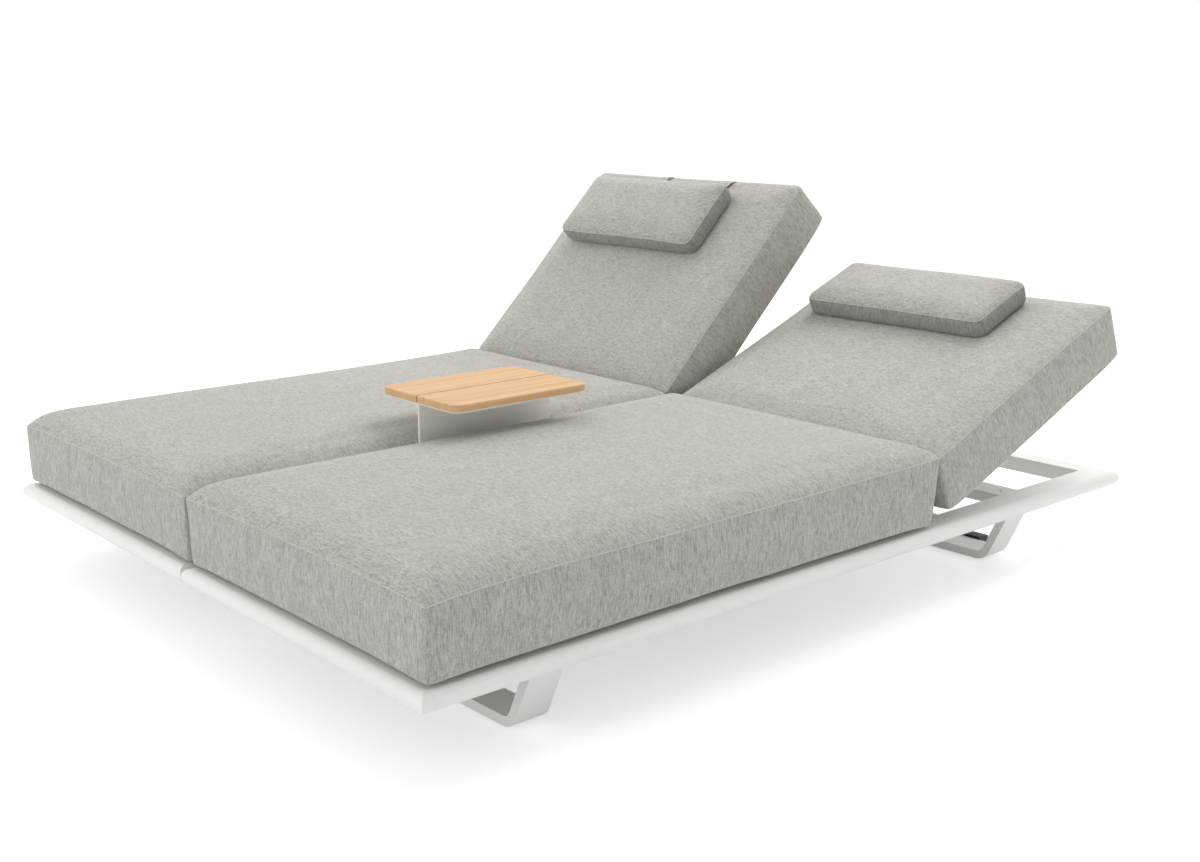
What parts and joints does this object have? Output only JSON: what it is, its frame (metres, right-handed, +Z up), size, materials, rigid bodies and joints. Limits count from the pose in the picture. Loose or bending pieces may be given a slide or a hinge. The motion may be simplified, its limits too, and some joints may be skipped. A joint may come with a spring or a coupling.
{
  "type": "double chaise lounger",
  "caption": "Low double chaise lounger with two separately reclining padded backs, headrest pillows, sled legs and a small wood-topped table between the seats.",
  "frame": {"origin": "middle of the footprint on the floor, at the seam between the two loungers", "axes": "+Y from the foot end to the head end, +X across to the right-hand lounger, +Z up"},
  "size_m": [1.6, 2, 0.8021],
  "materials": {
    "powder_coat": "satin off-white powder coat",
    "fabric": "heathered warm grey outdoor weave",
    "straps": "grey woven band",
    "teak": "oiled light teak",
    "glides": "black moulded plastic",
    "screws": "passivated brass-coloured",
    "pins": "brushed stainless steel"
  },
  "bodies": {
    "frame": {"outer_rail_right": "powder_coat", "inner_rail_right": "powder_coat", "foot_rail_right": "powder_coat", "head_rail_right": "powder_coat", "foot_leg_bar_right": "powder_coat", "head_leg_bar_right": "powder_coat", "hinge_bar_right": "powder_coat", "bar_cleats_right": "powder_coat", "bar_screws_right": "screws", "seat_slats_right": "powder_coat", "foot_sled_leg_right": "powder_coat", "head_sled_leg_right": "powder_coat", "foot_leg_glides_right": "glides", "heel_glides_right": "glides", "hinge_ears_right": "powder_coat", "hinge_pins_right": "pins", "stay_racks_right": "powder_coat", "seat_cushion_right": "fabric", "outer_rail_left": "powder_coat", "inner_rail_left": "powder_coat", "foot_rail_left": "powder_coat", "head_rail_left": "powder_coat", "foot_leg_bar_left": "powder_coat", "head_leg_bar_left": "powder_coat", "hinge_bar_left": "powder_coat", "bar_cleats_left": "powder_coat", "bar_screws_left": "screws", "seat_slats_left": "powder_coat", "foot_sled_leg_left": "powder_coat", "head_sled_leg_left": "powder_coat", "foot_leg_glides_left": "glides", "heel_glides_left": "glides", "hinge_ears_left": "powder_coat", "hinge_pins_left": "pins", "stay_racks_left": "powder_coat", "seat_cushion_left": "fabric", "link_plates": "powder_coat", "link_bolts": "pins", "table_post": "powder_coat", "table_tray": "powder_coat", "teak_plank_right": "teak", "teak_plank_left": "teak", "table_screws": "pins"},
    "backrest_right": {"backrest_arms_right": "powder_coat", "backrest_head_bar_right": "powder_coat", "backrest_slats_right": "powder_coat"},
    "stay_right": {"stay_plates_right": "powder_coat", "stay_rod_right": "powder_coat"},
    "back_cushion_right": {"back_cushion_right": "fabric", "pillow_straps_right": "straps"},
    "pillow_right": {"pillow_right": "fabric"},
    "backrest_left": {"backrest_arms_left": "powder_coat", "backrest_head_bar_left": "powder_coat", "backrest_slats_left": "powder_coat"},
    "stay_left": {"stay_plates_left": "powder_coat", "stay_rod_left": "powder_coat"},
    "back_cushion_left": {"back_cushion_left": "fabric", "pillow_straps_left": "straps"},
    "pillow_left": {"pillow_left": "fabric"}
  },
  "joints": [
    {"name": "recline_right", "type": "hinge", "parent": "frame", "child": "backrest_right", "pos_m": [0.40015, 0.3593, 0.172], "axis": [1, 0, 0], "range_deg": [-21.5, 23.5]},
    {"name": "stay_fold_right", "type": "hinge", "parent": "backrest_right", "child": "stay_right", "pos_m": [0.40015, 0.5826, 0.25996], "axis": [1, 0, 0], "range_deg": [-47, 43]},
    {"name": "back_cushion_creep_right", "type": "slide", "parent": "backrest_right", "child": "back_cushion_right", "axis": [0, 0.9304, 0.3665], "range_m": [-0.05405, 0.05906]},
    {"name": "pillow_shift_right", "type": "slide", "parent": "back_cushion_right", "child": "pillow_right", "axis": [0, 0.9304, 0.3665], "range_m": [-0.1, 0.025], "deforming": ["pillow_straps_right"]},
    {"name": "recline_left", "type": "hinge", "parent": "frame", "child": "backrest_left", "pos_m": [-0.40015, 0.3593, 0.172], "axis": [1, 0, 0], "range_deg": [-45, 0]},
    {"name": "stay_fold_left", "type": "hinge", "parent": "backrest_left", "child": "stay_left", "pos_m": [-0.40015, 0.52901, 0.34171], "axis": [1, 0, 0], "range_deg": [0, 90]},
    {"name": "back_cushion_creep_left", "type": "slide", "parent": "backrest_left", "child": "back_cushion_left", "axis": [0, 0.7071, 0.7071], "range_m": [-0.11291, 0]},
    {"name": "pillow_shift_left", "type": "slide", "parent": "back_cushion_left", "child": "pillow_left", "axis": [0, 0.7071, 0.7071], "range_m": [-0.1, 0.025], "deforming": ["pillow_straps_left"]}
  ],
  "couplings": [
    {"joint": "stay_fold_right", "follows": "recline_right", "ratio": -2},
    {"joint": "back_cushion_creep_right", "follows": "recline_right", "m_per_rad": 0.1435},
    {"joint": "stay_fold_left", "follows": "recline_left", "ratio": -2},
    {"joint": "back_cushion_creep_left", "follows": "recline_left", "m_per_rad": 0.1435}
  ]
}
